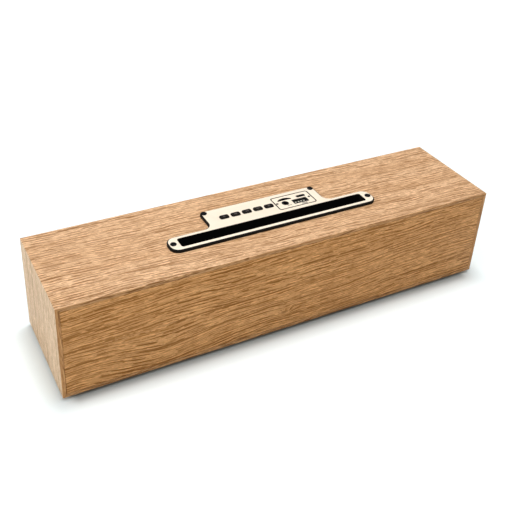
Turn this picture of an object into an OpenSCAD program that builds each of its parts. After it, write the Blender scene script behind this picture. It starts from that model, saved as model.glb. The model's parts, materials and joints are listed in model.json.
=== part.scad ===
// Wooden wireless speaker with a phone slot in its top panel.
// Origin: middle of the footprint, on the surface it stands on. +Z up, grille towards -Y, length along X.

/* [Cabinet] */
// Length of the wooden case
cabinet_w = 370; // [340:1:420]
// Depth of the wooden case, front to back
cabinet_d = 90.5; // [88:0.5:100]
// Height of the wooden case, without its feet
cabinet_h = 79.5; // [76:0.5:90]
// Thickness of the folded case boards
wall_t = 6; // [5:0.5:7]
// Width of board edge left showing round the back panel and the grille
edge_w = 3; // [2.5:0.5:4]
// Thickness of the back panel
back_t = 5; // [4:0.5:6]
// Height of the rubber feet
foot_h = 3; // [1.5:0.5:4]

/* [Top panel] */
// Length of the bar that holds the phone slot
bar_w = 180.8; // [178:0.1:190]
// Width of that bar
bar_d = 18.2; // [17:0.1:19]
// Width of the tab that carries the keys and sockets
tab_w = 102.8; // [102:0.1:108]
// Thickness of the moulded flange under the metal plate
flange_t = 1.9; // [1.5:0.1:2.5]
// Thickness of the metal plate
plate_t = 0.6; // [0.4:0.1:0.8]

/* [Phone slot] */
// Length of the slot
slot_w = 163.4; // [150:0.1:164]
// Width of the slot
slot_d = 11.1; // [9:0.1:11.5]
// Depth of the slot below the plate, down to its bare floor
slot_depth = 14; // [10:0.5:16]

/* [Keys] */
// Length of a key cap
key_w = 7.6; // [7:0.1:8]
// Width of a key cap
key_d = 4.6; // [4:0.1:5]
// How far a key stands above the plate
key_rise = 0.8; // [0.6:0.1:1.2]

/* [Drivers] */
// Distance of each driver's axis from the middle
driver_x = 115; // [100:1:140]

/* [Hidden] */
$fn = 48;
eps = 0.01;
gap = 0.2;

// Heights
case_z0 = foot_h;
case_z1 = foot_h + cabinet_h;
flange_z1 = case_z1 + flange_t;
panel_z1 = flange_z1 + plate_t;

// Case
front_y = -cabinet_d / 2;
back_y = cabinet_d / 2;
grille_recess = 7;
baffle_t = 6;
baffle_y0 = front_y + grille_recess;
baffle_y1 = baffle_y0 + baffle_t;
inner_w = cabinet_w - 2 * wall_t;
inner_h = cabinet_h - 2 * wall_t;
inner_z0 = case_z0 + wall_t;
inner_z1 = case_z1 - wall_t;
rabbet_w = cabinet_w - 2 * edge_w;
rabbet_h = cabinet_h - 2 * edge_w;
mid_z = case_z0 + cabinet_h / 2;
foot_r = 6;
foot_inset_x = 18;
foot_inset_y = 11;

// Top panel outline
bar_y = 11.3;
bar_r = 7.4;
tab_y0 = -20.8;
tab_r = 3.4;
fillet_r = 6;
plate_rim = 0.9;
panel_screws_at = [[-48.5, -17.4], [48.5, -17.4], [-86.4, bar_y], [86.4, bar_y]];
panel_screw_r = 1.4;
panel_screw_head_r = 2.4;
panel_screw_len = 9.5;
thread_gap = 0.05;

// Phone slot
slot_y = 11.2;
slot_r = 1.8;
trough_wall = 1.5;
liner_t = 1.5;
trough_z0 = panel_z1 - slot_depth - trough_wall;

// Opening in the top board, a T that the panel covers
board_clear = 0.5;
trough_w = slot_w + 2 * trough_wall;
trough_d = slot_d + 2 * trough_wall;
bay_w = 90;
bay_y0 = -15.5;

// Keys and their switches
KEYS = ["mode", "previous", "play", "next", "power"];
key_x0 = -3.7;
key_pitch = 9.9;
key_y = -6.75;
key_r = 1.4;
key_clear = 0.15;
key_web_z1 = case_z1 - 0.1;
key_web_t = 0.8;
key_foot_z = case_z1 - 3.4;
stem_w = 3;
switch_w = 6;
switch_h = 3.5;
plunger_r = 1.7;
plunger_well = 0.8;
plunger_drop = 0.3;
key_board_t = 1.2;
key_board_z1 = key_foot_z - 6.1;
key_board_x = [-8.4, 43.4];
key_board_y = [-14.4, 2.4];
posts_at = [[-6.5, -12.2], [-6.5, 0.2], [40.5, -12.2], [40.5, 0.2]];
post_r = 2;
board_screw_r = 1;

// Socket bay
port_w = 33.1;
port_d = 16.9;
port_x = -26.6;
port_y = -7.05;
port_r = 1.5;
port_gap = 0.55;
port_screws_at = [[-11.5, -6.85], [-41.1, -6.85]];
port_screw_r = 0.6;
port_screw_head_r = 1;
port_board_y = [-9.5, -8.5];
port_board_x = [-43, -10.2];
port_board_z = [panel_z1 - 37.5, panel_z1 - 3.5];
rail_x = 2.2;
rail_y = 4;
rail_len = 11.5;
socket_z1 = panel_z1 - 0.3;
socket_clear = 0.25;
jack_at = [-18.2, -5.65];
jack_nose_r = 2.7;
jack_bore_r = 1.8;
jack_body = [7, 5.7, 11];
jack_bore_len = 12;
usb_at = [-31.6, -4.6];
usb_size = [13.1, 5.7];
usb_len = 14;
usb_wall = 0.35;
usb_heel = 1.5;
usb_tongue_size = [11.1, 1.9];
charge_at = [-35.3, -10.8];
charge_size = [7.6, 2.6];
charge_len = 7;
charge_wall = 0.35;
card_at = [-19.9, -10.45];
card_size = [12.8, 1.9];
card_slot = [11.4, 0.9];
card_len = 15;
card_mouth = [12.4, 1.4];
thumb_r = 9;

// Drivers, in a local frame with z into the cabinet and z = 0 on the baffle's front face
SIDES = [-1, 1];
SIDE_NAMES = ["left", "right"];
driver_hole_r = 24.2;
basket_r = 26;
basket_throat = [23.4, 16.6];
basket_len = 15.8;
basket_t = 0.8;
basket_lip = 2;
ear_at = 27.5;
ear_r = 4;
driver_screw_r = 1.4;
ledge_z = 9.4;
surround_r = [19.5, 23.7];
roll_r = 2.1;
roll_t = 0.4;
coil_r = 10;
cone_edge_r = 19.4;
cone_neck_z = 6.2;
cone_t = 0.6;
cap_r = 11.4;
cap_rise = 2.6;
cap_t = 0.4;
pole_r = 9.4;
motor_gap_r = 10.7;
motor_r = 15;
motor_plate_t = 3;
magnet_r = [11.6, 16.5];
magnet_t = 6;
yoke_t = 3;

// Grille
grille_bar = 5;
grille_depth = 6.7;
grille_sheet_t = 0.8;
gusset = 12;
peg_r = 2.5;
peg_len = 5;
peg_x = 172;
peg_z = 26;

// Battens and their screws
batten = 10;
centre_batten_w = 60;
baffle_screw_r = 1.7;
baffle_screws_at = [[-172, -14], [-172, 14], [172, -14], [172, 14], [0, -27.5], [0, 27.5]];

// Battery
cell_r = 9.2;
cell_len = 65;
cell_pitch = 19.4;
cell_y = 18.5;
holder_wall = 2.4;
holder_floor = 1.6;
holder_h = 12;
holder_w = cell_len + 2 * holder_wall + 1;
holder_d = cell_pitch + 2 * cell_r + 2 * holder_wall + 0.4;

// Leads: routes along their middle, from the board's connectors
lead_r = 1.1;
lead_sides = 8;
lead_steps = 5;
plug_xs = [-40, -26.6, -13];
plug_size = [6, 4, 5];
plug_z0 = port_board_z[0] + 0.5;
plug_y = port_board_y[1] + plug_size[1] / 2;
lead_z = plug_z0 - 0.1;
plug_drop = plug_z0 - 8;
terminal_at = [93.7, -28, mid_z];
left_route = [[plug_xs[0], plug_y, lead_z], [plug_xs[0], plug_y, plug_drop], [-47, -10, 32],
              [-65, -18, 30], [-79, -25, 35], [-87, -28, mid_z], [-terminal_at[0], terminal_at[1], mid_z]];
right_route = [[plug_xs[2], plug_y, lead_z], [plug_xs[2], plug_y, plug_drop], [0, -10, 33],
               [30, -15, 30], [60, -20, 30], [79, -25, 35], [87, -28, mid_z], terminal_at];
battery_route = [[plug_xs[1], plug_y, lead_z], [plug_xs[1], plug_y, plug_drop], [-29, -4, 34],
                 [-35, 1, 28], [-36.6, 5, 21], [-36.6, 5, 13]];

STATIC = ["top_board", "bottom_board", "left_end_board", "right_end_board", "back_board", "front_baffle",
          "baffle_battens", "baffle_screws", "rubber_feet", "grille_frame", "grille_sheet", "panel_base",
          "panel_plate", "panel_screws", "slot_liner", "port_plate", "port_screws", "switch_bodies",
          "key_board", "key_board_screws", "port_board", "aux_jack", "usb_shell", "usb_tongue",
          "charge_socket", "card_socket", "board_parts", "battery_holder", "battery_cells",
          "battery_lead", "driver_leads", "driver_screws"];
DRIVER = ["basket", "motor_plate", "magnet", "yoke", "cone", "voice_coil", "surround", "spider", "dust_cap"];

// ---------- shapes that repeat ----------

// A rectangle with round corners, centred on the origin
module rounded(size, r) {
    square([size[0] - 2 * r, size[1]], center = true);
    square([size[0], size[1] - 2 * r], center = true);
    for (x = [-1, 1], y = [-1, 1])
        translate([x * (size[0] / 2 - r), y * (size[1] / 2 - r)]) circle(r);
}

// A box from one corner to the other
module span(a, b) {
    translate(a) cube(b - a);
}

// Children copied to each place in a list of [x, y]
module at_each(places) {
    for (p = places) translate([p[0], p[1], 0]) children();
}

// A centred rounded block from z0 to z1
module rounded_block(size, r, z0, z1) {
    translate([0, 0, z0]) linear_extrude(z1 - z0) rounded(size, r);
}

// A cross-head screw: its head sits on z = 0 and its shank points down
module screw(shank_r, len, head_r, head_h) {
    cross_w = head_r * 0.36;
    cross_l = head_r * 1.3;
    difference() {
        union() {
            cylinder(r1 = head_r, r2 = head_r * 0.8, h = head_h);
            translate([0, 0, -len]) cylinder(r = shank_r, h = len + eps);
        }
        for (a = [0, 90])
            rotate([0, 0, a]) translate([-cross_l / 2, -cross_w / 2, head_h * 0.35])
                cube([cross_l, cross_w, head_h]);
    }
}

// ---------- case ----------

// One board of the mitred case, drawn in the X-Z plane by its four corners
module case_board(corners, tone) {
    color(tone) difference() {
        translate([0, back_y, 0]) rotate([90, 0, 0]) linear_extrude(cabinet_d) polygon(corners);
        rabbet(back_y - back_t, back_y + eps);
        rabbet(front_y - eps, front_y + grille_recess);
    }
}

// The step cut round the inside of the case's front and back edges
module rabbet(y0, y1) {
    span([-rabbet_w / 2, y0, mid_z - rabbet_h / 2], [rabbet_w / 2, y1, mid_z + rabbet_h / 2]);
}

module top_board() {
    difference() {
        case_board([[-cabinet_w / 2, case_z1], [cabinet_w / 2, case_z1], [inner_w / 2, inner_z1],
                    [-inner_w / 2, inner_z1]], "burlywood");
        translate([0, slot_y, inner_z1 - 1])
            linear_extrude(wall_t + 2) square([trough_w + 2 * board_clear, trough_d + 2 * board_clear],
                                              center = true);
        span([-bay_w / 2, bay_y0, inner_z1 - 1], [bay_w / 2, slot_y, case_z1 + 1]);
        at_each(panel_screws_at) translate([0, 0, inner_z1 - 1])
            cylinder(r = panel_screw_r + thread_gap, h = wall_t + 2);
    }
}

module bottom_board() {
    case_board([[-cabinet_w / 2, case_z0], [cabinet_w / 2, case_z0], [inner_w / 2, inner_z0],
                [-inner_w / 2, inner_z0]], "burlywood");
}

module end_board(side) {
    case_board([[side * cabinet_w / 2, case_z0], [side * cabinet_w / 2, case_z1],
                [side * inner_w / 2, inner_z1], [side * inner_w / 2, inner_z0]], "wheat");
}

module back_board() {
    fit = 0.15;
    color("tan") span([-rabbet_w / 2 + fit, back_y - back_t, mid_z - rabbet_h / 2 + fit],
                      [rabbet_w / 2 - fit, back_y, mid_z + rabbet_h / 2 - fit]);
}

module front_baffle() {
    color("dimgray") difference() {
        span([-inner_w / 2 + gap, baffle_y0, inner_z0 + gap], [inner_w / 2 - gap, baffle_y1, inner_z1 - gap]);
        for (side = SIDES) at_driver(side) {
            translate([0, 0, -1]) cylinder(r = driver_hole_r, h = baffle_t + 2);
            at_ears() translate([0, 0, -1]) cylinder(r = driver_screw_r + thread_gap, h = baffle_t + 2);
        }
        at_baffle(baffle_screws_at) translate([0, 0, -1])
            cylinder(r = baffle_screw_r + thread_gap, h = baffle_t + 2);
        at_baffle(pegs_at()) translate([0, 0, -1]) cylinder(r = peg_r + thread_gap, h = peg_len + 1.5);
    }
}

// Places on the baffle's front face, given as [x, height from the middle], with z into the cabinet
module at_baffle(places) {
    for (p = places) translate([p[0], baffle_y0, mid_z + p[1]]) rotate([-90, 0, 0]) children();
}

function pegs_at() = [for (x = [-peg_x, peg_x], z = [-peg_z, peg_z]) [x, z]];

module baffle_battens() {
    color("peru") difference() {
        union() {
            for (side = SIDES)
                translate([side * (inner_w / 2 - batten / 2), baffle_y1 + batten / 2, mid_z])
                    cube([batten, batten, inner_h], center = true);
            for (side = SIDES)
                translate([0, baffle_y1 + batten / 2, mid_z + side * (inner_h / 2 - batten / 2)])
                    cube([centre_batten_w, batten, batten], center = true);
        }
        at_baffle(baffle_screws_at) cylinder(r = baffle_screw_r + thread_gap, h = baffle_t + batten - 1);
    }
}

module baffle_screws() {
    color("dimgray") at_baffle(baffle_screws_at) rotate([180, 0, 0]) screw(baffle_screw_r, 14, 3, 1.6);
}

module rubber_feet() {
    color("black") for (x = [-1, 1], y = [-1, 1])
        translate([x * (cabinet_w / 2 - foot_inset_x), y * (cabinet_d / 2 - foot_inset_y), 0])
            cylinder(r = foot_r, h = foot_h);
}

// ---------- grille ----------

module grille_frame() {
    outer = [rabbet_w - 2 * gap, rabbet_h - 2 * gap];
    y1 = baffle_y0 - 0.1;
    color("black") {
        translate([0, y1, mid_z]) rotate([90, 0, 0]) linear_extrude(grille_depth - grille_sheet_t)
            difference() {
                square(outer, center = true);
                difference() {
                    square(outer - [2 * grille_bar, 2 * grille_bar], center = true);
                    for (x = [-1, 1], y = [-1, 1])
                        translate([x * outer[0] / 2, y * outer[1] / 2])
                            square(2 * (grille_bar + gusset), center = true);
                }
            }
        at_baffle(pegs_at()) translate([0, 0, -0.2]) cylinder(r = peg_r, h = peg_len + 0.2);
    }
}

module grille_sheet() {
    outer = [rabbet_w - 2 * gap, rabbet_h - 2 * gap];
    y1 = baffle_y0 - 0.1 - grille_depth + grille_sheet_t;
    color("darkslategray") translate([0, y1, mid_z]) rotate([90, 0, 0])
        linear_extrude(grille_sheet_t) rounded(outer, 1);
}

// ---------- top panel ----------

// Outline of the top panel: a bar for the slot and a tab for the keys, with hollow corners between
module panel_outline(inset) {
    f = fillet_r + inset;
    half = tab_w / 2 - inset;
    join_y = bar_y - bar_d / 2 + inset;
    tab_y = tab_y0 + inset;
    translate([0, bar_y]) rounded([bar_w - 2 * inset, bar_d - 2 * inset], bar_r - inset);
    difference() {
        union() {
            translate([-half, tab_y + tab_r]) square([2 * half, bar_y - tab_y - tab_r]);
            translate([-half + tab_r, tab_y]) square([2 * (half - tab_r), tab_r + 1]);
            translate([-half - f, join_y - f]) square([2 * (half + f), f + 1]);
            for (x = [-1, 1]) translate([x * (half - tab_r), tab_y + tab_r]) circle(tab_r);
        }
        for (x = [-1, 1]) translate([x * (half + f), join_y - f]) circle(f);
    }
}

module slot_hole(grow) {
    translate([0, slot_y]) rounded([slot_w + 2 * grow, slot_d + 2 * grow], slot_r + grow);
}

module key_holes() {
    for (i = [0:len(KEYS) - 1]) translate([key_x0 + i * key_pitch, key_y])
        rounded([key_w + 2 * key_clear, key_d + 2 * key_clear], key_r + key_clear);
}

// The card's mouth with the thumb scoop in front of it
module card_hole() {
    translate(card_at) {
        square(card_mouth, center = true);
        intersection() {
            translate([0, thumb_r - card_mouth[1] / 2 - 1.6]) circle(thumb_r);
            translate([0, -2]) square([card_mouth[0] - 1.6, 4], center = true);
        }
    }
}

module socket_holes() {
    c = 2 * socket_clear;
    translate(jack_at) circle(jack_nose_r + socket_clear);
    translate(usb_at) rounded(usb_size + [c, c], 0.6);
    translate(charge_at) rounded(charge_size + [c, c], 1);
    card_hole();
}

module panel_base() {
    color("black") difference() {
        union() {
            translate([0, 0, case_z1]) linear_extrude(flange_t) panel_outline(0);
            translate([0, 0, trough_z0]) linear_extrude(case_z1 - trough_z0 + 1) slot_hole(trough_wall);
            at_each(posts_at) translate([0, 0, key_board_z1])
                cylinder(r = post_r, h = case_z1 - key_board_z1 + 1);
            for (x = port_board_x)
                translate([x, (port_board_y[0] + port_board_y[1]) / 2, case_z1 - rail_len / 2])
                    cube([rail_x, rail_y, rail_len + eps], center = true);
        }
        translate([0, 0, trough_z0 + trough_wall]) linear_extrude(slot_depth + 1) slot_hole(0);
        translate([0, 0, case_z1 - 1]) linear_extrude(flange_t + 2) {
            key_holes();
            socket_holes();
        }
        span([port_board_x[0] - gap, port_board_y[0] - gap, case_z1 - rail_len - 1],
             [port_board_x[1] + gap, port_board_y[1] + gap, case_z1 - 0.5]);
        at_each(panel_screws_at) translate([0, 0, case_z1 - 1])
            cylinder(r = panel_screw_r + 0.3, h = flange_t + 2);
        at_each(posts_at) translate([0, 0, key_board_z1 - 1])
            cylinder(r = board_screw_r + thread_gap, h = 7);
        at_each(port_screws_at) translate([0, 0, case_z1 - 1])
            cylinder(r = port_screw_r + thread_gap, h = flange_t + 2);
    }
}

module panel_plate() {
    color("antiquewhite") difference() {
        translate([0, 0, flange_z1]) linear_extrude(plate_t) difference() {
            panel_outline(plate_rim);
            slot_hole(0);
            key_holes();
            translate([port_x, port_y])
                rounded([port_w + 2 * port_gap, port_d + 2 * port_gap], port_r + port_gap);
        }
        at_each(panel_screws_at) translate([0, 0, flange_z1 - 1])
            cylinder(r = panel_screw_r + 0.3, h = plate_t + 2);
    }
}

module panel_screws() {
    color("black") at_each(panel_screws_at) translate([0, 0, panel_z1])
        screw(panel_screw_r, panel_screw_len, panel_screw_head_r, 0.6);
}

module slot_liner() {
    side_gap = 0.15;
    color("dimgray") translate([0, slot_y, 0])
        rounded_block([slot_w - 2 * side_gap, slot_d - 2 * side_gap], slot_r,
                      trough_z0 + trough_wall, trough_z0 + trough_wall + liner_t);
}

module port_plate() {
    color("antiquewhite") translate([0, 0, flange_z1]) linear_extrude(plate_t) difference() {
        translate([port_x, port_y]) rounded([port_w, port_d], port_r);
        socket_holes();
        for (p = port_screws_at) translate(p) circle(port_screw_r + 0.1);
    }
}

module port_screws() {
    color("black") at_each(port_screws_at) translate([0, 0, panel_z1])
        screw(port_screw_r, 2.2, port_screw_head_r, 0.3);
}

// ---------- keys ----------

module key(i) {
    color("black") translate([key_x0 + i * key_pitch, key_y, 0]) {
        rounded_block([key_w, key_d], key_r, key_web_z1 - eps, panel_z1 + key_rise);
        rounded_block([key_w + 1.2, key_d + 1.8], key_r, key_web_z1 - key_web_t, key_web_z1);
        translate([0, 0, (key_foot_z + key_web_z1) / 2])
            cube([stem_w, stem_w, key_web_z1 - key_foot_z], center = true);
    }
}

module plunger(i) {
    z0 = key_board_z1 + switch_h - plunger_drop;
    color("gray") translate([key_x0 + i * key_pitch, key_y, z0])
        cylinder(r = plunger_r, h = key_foot_z - z0);
}

module switch_bodies() {
    color("silver") for (i = [0:len(KEYS) - 1]) translate([key_x0 + i * key_pitch, key_y, key_board_z1])
        difference() {
            translate([0, 0, switch_h / 2]) cube([switch_w, switch_w, switch_h], center = true);
            translate([0, 0, switch_h - plunger_well])
                cylinder(r = plunger_r + thread_gap, h = plunger_well + 1);
        }
}

module key_board() {
    color("seagreen") difference() {
        span([key_board_x[0], key_board_y[0], key_board_z1 - key_board_t],
             [key_board_x[1], key_board_y[1], key_board_z1]);
        at_each(posts_at) translate([0, 0, key_board_z1 - key_board_t - 1])
            cylinder(r = board_screw_r + 0.2, h = key_board_t + 2);
    }
}

module key_board_screws() {
    color("silver") at_each(posts_at) translate([0, 0, key_board_z1 - key_board_t]) rotate([180, 0, 0])
        screw(board_screw_r, 6, 2, 1.2);
}

// ---------- sockets ----------

module port_board() {
    color("seagreen") span([port_board_x[0], port_board_y[0], port_board_z[0]],
                           [port_board_x[1], port_board_y[1], port_board_z[1]]);
}

module aux_jack() {
    body_y = port_board_y[1] + jack_body[1] / 2;
    body_z1 = case_z1 - 0.6;
    color("black") difference() {
        union() {
            translate([jack_at[0], body_y, body_z1 - jack_body[2] / 2]) cube(jack_body, center = true);
            translate([jack_at[0], jack_at[1], body_z1 - eps])
                cylinder(r = jack_nose_r, h = socket_z1 - body_z1 + eps);
        }
        translate([jack_at[0], jack_at[1], socket_z1 - jack_bore_len])
            cylinder(r = jack_bore_r, h = jack_bore_len + 1);
    }
}

module usb_shell() {
    heel_z = socket_z1 - usb_len;
    color("silver") translate([usb_at[0], usb_at[1], 0]) {
        difference() {
            rounded_block(usb_size, 0.5, heel_z, socket_z1);
            translate([0, 0, heel_z - 1]) linear_extrude(usb_len + 2)
                square(usb_size - [2 * usb_wall, 2 * usb_wall], center = true);
        }
        for (x = [-1, 1]) translate([x * 4.6, -usb_size[1] / 2 - 0.5, heel_z + 4])
            cube([1.2, 1.1, 3], center = true);
    }
}

module usb_tongue() {
    heel_z = socket_z1 - usb_len;
    inner = usb_size - [2 * usb_wall, 2 * usb_wall];
    color("white") translate([usb_at[0], usb_at[1], 0]) {
        translate([0, 0, heel_z + usb_heel / 2])
            cube([inner[0] - 0.1, inner[1] - 0.1, usb_heel], center = true);
        translate([0, inner[1] / 2 - usb_tongue_size[1] / 2 - 0.5, (heel_z + socket_z1 - 1) / 2])
            cube([usb_tongue_size[0], usb_tongue_size[1], usb_len - 1], center = true);
    }
}

module charge_socket() {
    z0 = socket_z1 - charge_len;
    color("silver") translate([charge_at[0], charge_at[1], 0]) difference() {
        rounded_block(charge_size, 0.8, z0, socket_z1);
        rounded_block(charge_size - [2 * charge_wall, 2 * charge_wall], 0.5, z0 + 1, socket_z1 + 1);
    }
    color("black") translate([charge_at[0], charge_at[1], 0])
        span([-1.9, -0.3, z0 + 1], [1.9, 0.3, socket_z1 - 1]);
}

module card_socket() {
    z1 = case_z1 - 0.4;
    y_mid = port_board_y[0] - card_size[1] / 2;
    color("silver") translate([card_at[0], y_mid, 0]) difference() {
        translate([0, 0, z1 - card_len / 2]) cube([card_size[0], card_size[1], card_len], center = true);
        translate([0, 0, z1 - card_len / 2 + 1])
            cube([card_slot[0], card_slot[1], card_len], center = true);
    }
}

// The decoder and amplifier chips, the coil and the lead connectors on the socket board
module board_parts() {
    y0 = port_board_y[0];
    y1 = port_board_y[1];
    z0 = port_board_z[0];
    color("black") {
        span([-36, y1, z0 + 8], [-28, y1 + 1.6, z0 + 16]);
        span([-22, y1, z0 + 8], [-15, y1 + 1.6, z0 + 13]);
        span([-40, y0 - 1.2, z0 + 4], [-34, y0, z0 + 10]);
    }
    color("dimgray") span([-26, y0 - 4, z0 + 3], [-19, y0, z0 + 10]);
    color("ivory") for (x = plug_xs)
        translate([x, plug_y, plug_z0 + plug_size[2] / 2]) cube(plug_size, center = true);
}

// ---------- battery ----------

module battery_holder() {
    color("black") difference() {
        translate([0, cell_y, inner_z0 + holder_h / 2]) cube([holder_w, holder_d, holder_h], center = true);
        for (side = SIDES) translate([0, cell_y + side * cell_pitch / 2, inner_z0 + holder_floor + cell_r]) {
            rotate([0, 90, 0]) cylinder(r = cell_r + 0.2, h = cell_len + 1, center = true);
            translate([0, 0, cell_r]) cube([cell_len + 1, 2 * cell_r + 0.4, 2 * cell_r], center = true);
        }
    }
}

module battery_cells() {
    color("royalblue") for (side = SIDES)
        translate([0, cell_y + side * cell_pitch / 2, inner_z0 + holder_floor + cell_r])
            rotate([0, 90, 0]) cylinder(r = cell_r, h = cell_len, center = true);
}

// ---------- leads ----------

function unit(v) = v / norm(v);

// A point on the smooth curve through p, on the stretch that starts at p[i], at share t
function smooth_at(p, i, t) =
    let (last = len(p) - 1, a = p[max(i - 1, 0)], b = p[i], c = p[min(i + 1, last)], d = p[min(i + 2, last)])
    0.5 * (2 * b + (c - a) * t + (2 * a - 5 * b + 4 * c - d) * t * t + (3 * b - a - 3 * c + d) * t * t * t);

function smooth_path(p) =
    concat([for (i = [0:len(p) - 2], k = [0:lead_steps - 1]) smooth_at(p, i, k / lead_steps)],
           [p[len(p) - 1]]);

function path_way(q, i) = unit(q[min(i + 1, len(q) - 1)] - q[max(i - 1, 0)]);

// A round lead along a route, with square-cut ends
module lead(route) {
    q = smooth_path(route);
    n = len(q);
    level = [0.9, 0.1, 0.42];
    rings = [for (i = [0:n - 1])
        let (way = path_way(q, i), u = unit(cross(way, level)), v = cross(way, u))
        for (k = [0:lead_sides - 1])
            q[i] + lead_r * (cos(360 * k / lead_sides) * u + sin(360 * k / lead_sides) * v)];
    walls = [for (i = [0:n - 2], k = [0:lead_sides - 1])
        let (a = i * lead_sides, k2 = (k + 1) % lead_sides)
        each [[a + k, a + k2, a + lead_sides + k2], [a + k, a + lead_sides + k2, a + lead_sides + k]]];
    caps = [[for (k = [lead_sides - 1:-1:0]) k], [for (k = [0:lead_sides - 1]) (n - 1) * lead_sides + k]];
    polyhedron(rings, concat(walls, caps), convexity = 4);
}

module driver_leads() {
    color("firebrick") {
        lead(left_route);
        lead(right_route);
    }
}

module battery_lead() {
    color("firebrick") lead(battery_route);
}

// ---------- drivers ----------

module at_driver(side) {
    translate([side * driver_x, baffle_y0, mid_z]) rotate([-90, 0, 0]) children();
}

module at_ears() {
    for (a = [45:90:315]) rotate([0, 0, a]) translate([ear_at, 0, 0]) children();
}

module basket(side) {
    r0 = basket_throat[0];
    r1 = basket_throat[1];
    wall_r = function (z) r0 - (r0 - r1) * z / (basket_len - basket_t);
    color("slategray") at_driver(side) difference() {
        union() {
            rotate_extrude() polygon([
                [r0 - basket_t, -basket_lip], [basket_r, -basket_lip], [basket_r, 0], [r0, 0],
                [r1, basket_len - basket_t], [r1, basket_len], [magnet_r[0], basket_len],
                [magnet_r[0], basket_len - basket_t], [r1 - basket_t, basket_len - basket_t],
                [wall_r(ledge_z + basket_t) - basket_t, ledge_z + basket_t], [16.5, ledge_z + basket_t],
                [16.5, ledge_z], [wall_r(ledge_z) - basket_t, ledge_z], [r0 - basket_t, 0]]);
            at_ears() translate([0, 0, -basket_lip]) cylinder(r = ear_r, h = basket_lip);
            // Terminal block, on the side towards the middle of the case
            translate([-side * (wall_r(ledge_z + 1) + 1), 0, ledge_z + 0.8]) cube([3, 6, 2.4], center = true);
        }
        translate([0, 0, -basket_lip - 1]) cylinder(r = r0 - basket_t, h = basket_lip + 1 + eps);
        for (a = [45:90:315], z = [[2.5, 8.4], [11.2, 14.2]]) rotate([0, 0, a])
            translate([20, 0, (z[0] + z[1]) / 2]) cube([16, 16, z[1] - z[0]], center = true);
        at_ears() translate([0, 0, -basket_lip - 1]) cylinder(r = driver_screw_r + 0.2, h = basket_lip + 2);
    }
}

module ring(r_in, r_out, z0, z1) {
    translate([0, 0, z0]) difference() {
        cylinder(r = r_out, h = z1 - z0);
        translate([0, 0, -1]) cylinder(r = r_in, h = z1 - z0 + 2);
    }
}

module motor_plate(side) {
    color("silver") at_driver(side) ring(motor_gap_r, motor_r, basket_len, basket_len + motor_plate_t);
}

module magnet(side) {
    z0 = basket_len + motor_plate_t;
    color("dimgray") at_driver(side) ring(magnet_r[0], magnet_r[1], z0, z0 + magnet_t);
}

module yoke(side) {
    z0 = basket_len + motor_plate_t + magnet_t;
    color("silver") at_driver(side) {
        translate([0, 0, basket_len]) cylinder(r = pole_r, h = z0 - basket_len + 1);
        translate([0, 0, z0]) cylinder(r = motor_r, h = yoke_t);
    }
}

module cone(side) {
    z0 = -basket_lip;
    color("darkslategray") at_driver(side) rotate_extrude() polygon([
        [cone_edge_r, z0], [cone_edge_r, z0 + cone_t], [coil_r, cone_neck_z + cone_t + 0.3],
        [coil_r, cone_neck_z]]);
}

module dust_cap(side) {
    // The cap's rim stands just in front of the cone
    slope = (cone_neck_z + basket_lip) / (cone_edge_r - coil_r);
    rim_z = cone_neck_z - slope * (cap_r - coil_r) - cap_t - 0.05;
    arc_r = (cap_r * cap_r + cap_rise * cap_rise) / (2 * cap_rise);
    sweep = asin(cap_r / arc_r);
    face = [for (k = [0:8]) let (a = sweep * k / 8)
        [arc_r * sin(a), rim_z - cap_rise + arc_r * (1 - cos(a))]];
    color("dimgray") at_driver(side) rotate_extrude() polygon(concat(
        face, [for (k = [8:-1:0]) face[k] + [0, cap_t]]));
}

module voice_coil(side) {
    color("orangered") at_driver(side) {
        ring(coil_r - 0.3, coil_r, cone_neck_z - 0.6, 20.4);
        ring(coil_r, coil_r + 0.35, 15.4, 20);
    }
}

// A half roll between the cone's edge and the basket, with a flat lip on each side
module surround(side) {
    mid_r = (surround_r[0] + surround_r[1]) / 2;
    z0 = -basket_lip;
    color("black") at_driver(side) rotate_extrude() {
        translate([mid_r, z0]) difference() {
            circle(roll_r);
            circle(roll_r - roll_t);
            translate([-3, 0]) square([6, 3]);
        }
        translate([mid_r + roll_r - roll_t, z0 - roll_t]) square([1.3 + roll_t, roll_t]);
        translate([mid_r - roll_r - 1.2, z0 - roll_t]) square([1.2 + roll_t, roll_t]);
    }
}

module spider(side) {
    color("goldenrod") at_driver(side) ring(coil_r, 18, ledge_z - 0.4, ledge_z);
}

module driver_screws() {
    color("black") for (side = SIDES) at_driver(side) at_ears() translate([0, 0, -basket_lip])
        rotate([180, 0, 0]) screw(driver_screw_r, 7, 2.6, 1.3);
}

module driver_part(part, side) {
    if (part == "basket") basket(side);
    if (part == "motor_plate") motor_plate(side);
    if (part == "magnet") magnet(side);
    if (part == "yoke") yoke(side);
    if (part == "cone") cone(side);
    if (part == "voice_coil") voice_coil(side);
    if (part == "surround") surround(side);
    if (part == "spider") spider(side);
    if (part == "dust_cap") dust_cap(side);
}

// ---------- one line for each node ----------

top_board();
bottom_board();
end_board(-1);  // left_end_board
end_board(1);  // right_end_board
back_board();
front_baffle();
baffle_battens();
baffle_screws();
rubber_feet();
grille_frame();
grille_sheet();
panel_base();
panel_plate();
panel_screws();
slot_liner();
port_plate();
port_screws();
switch_bodies();
key_board();
key_board_screws();
port_board();
aux_jack();
usb_shell();
usb_tongue();
charge_socket();
card_socket();
board_parts();
battery_holder();
battery_cells();
battery_lead();
driver_leads();
driver_screws();
for (i = [0:len(KEYS) - 1]) {
    key(i);
    plunger(i);
}
for (s = [0, 1], part = DRIVER)
    driver_part(part, SIDES[s]);
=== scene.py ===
"""A wooden wireless speaker with a phone slot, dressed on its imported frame. Sizes are in mm unless said."""

import json
import math

import bmesh
import bpy
from mathutils import Matrix, Vector


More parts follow.
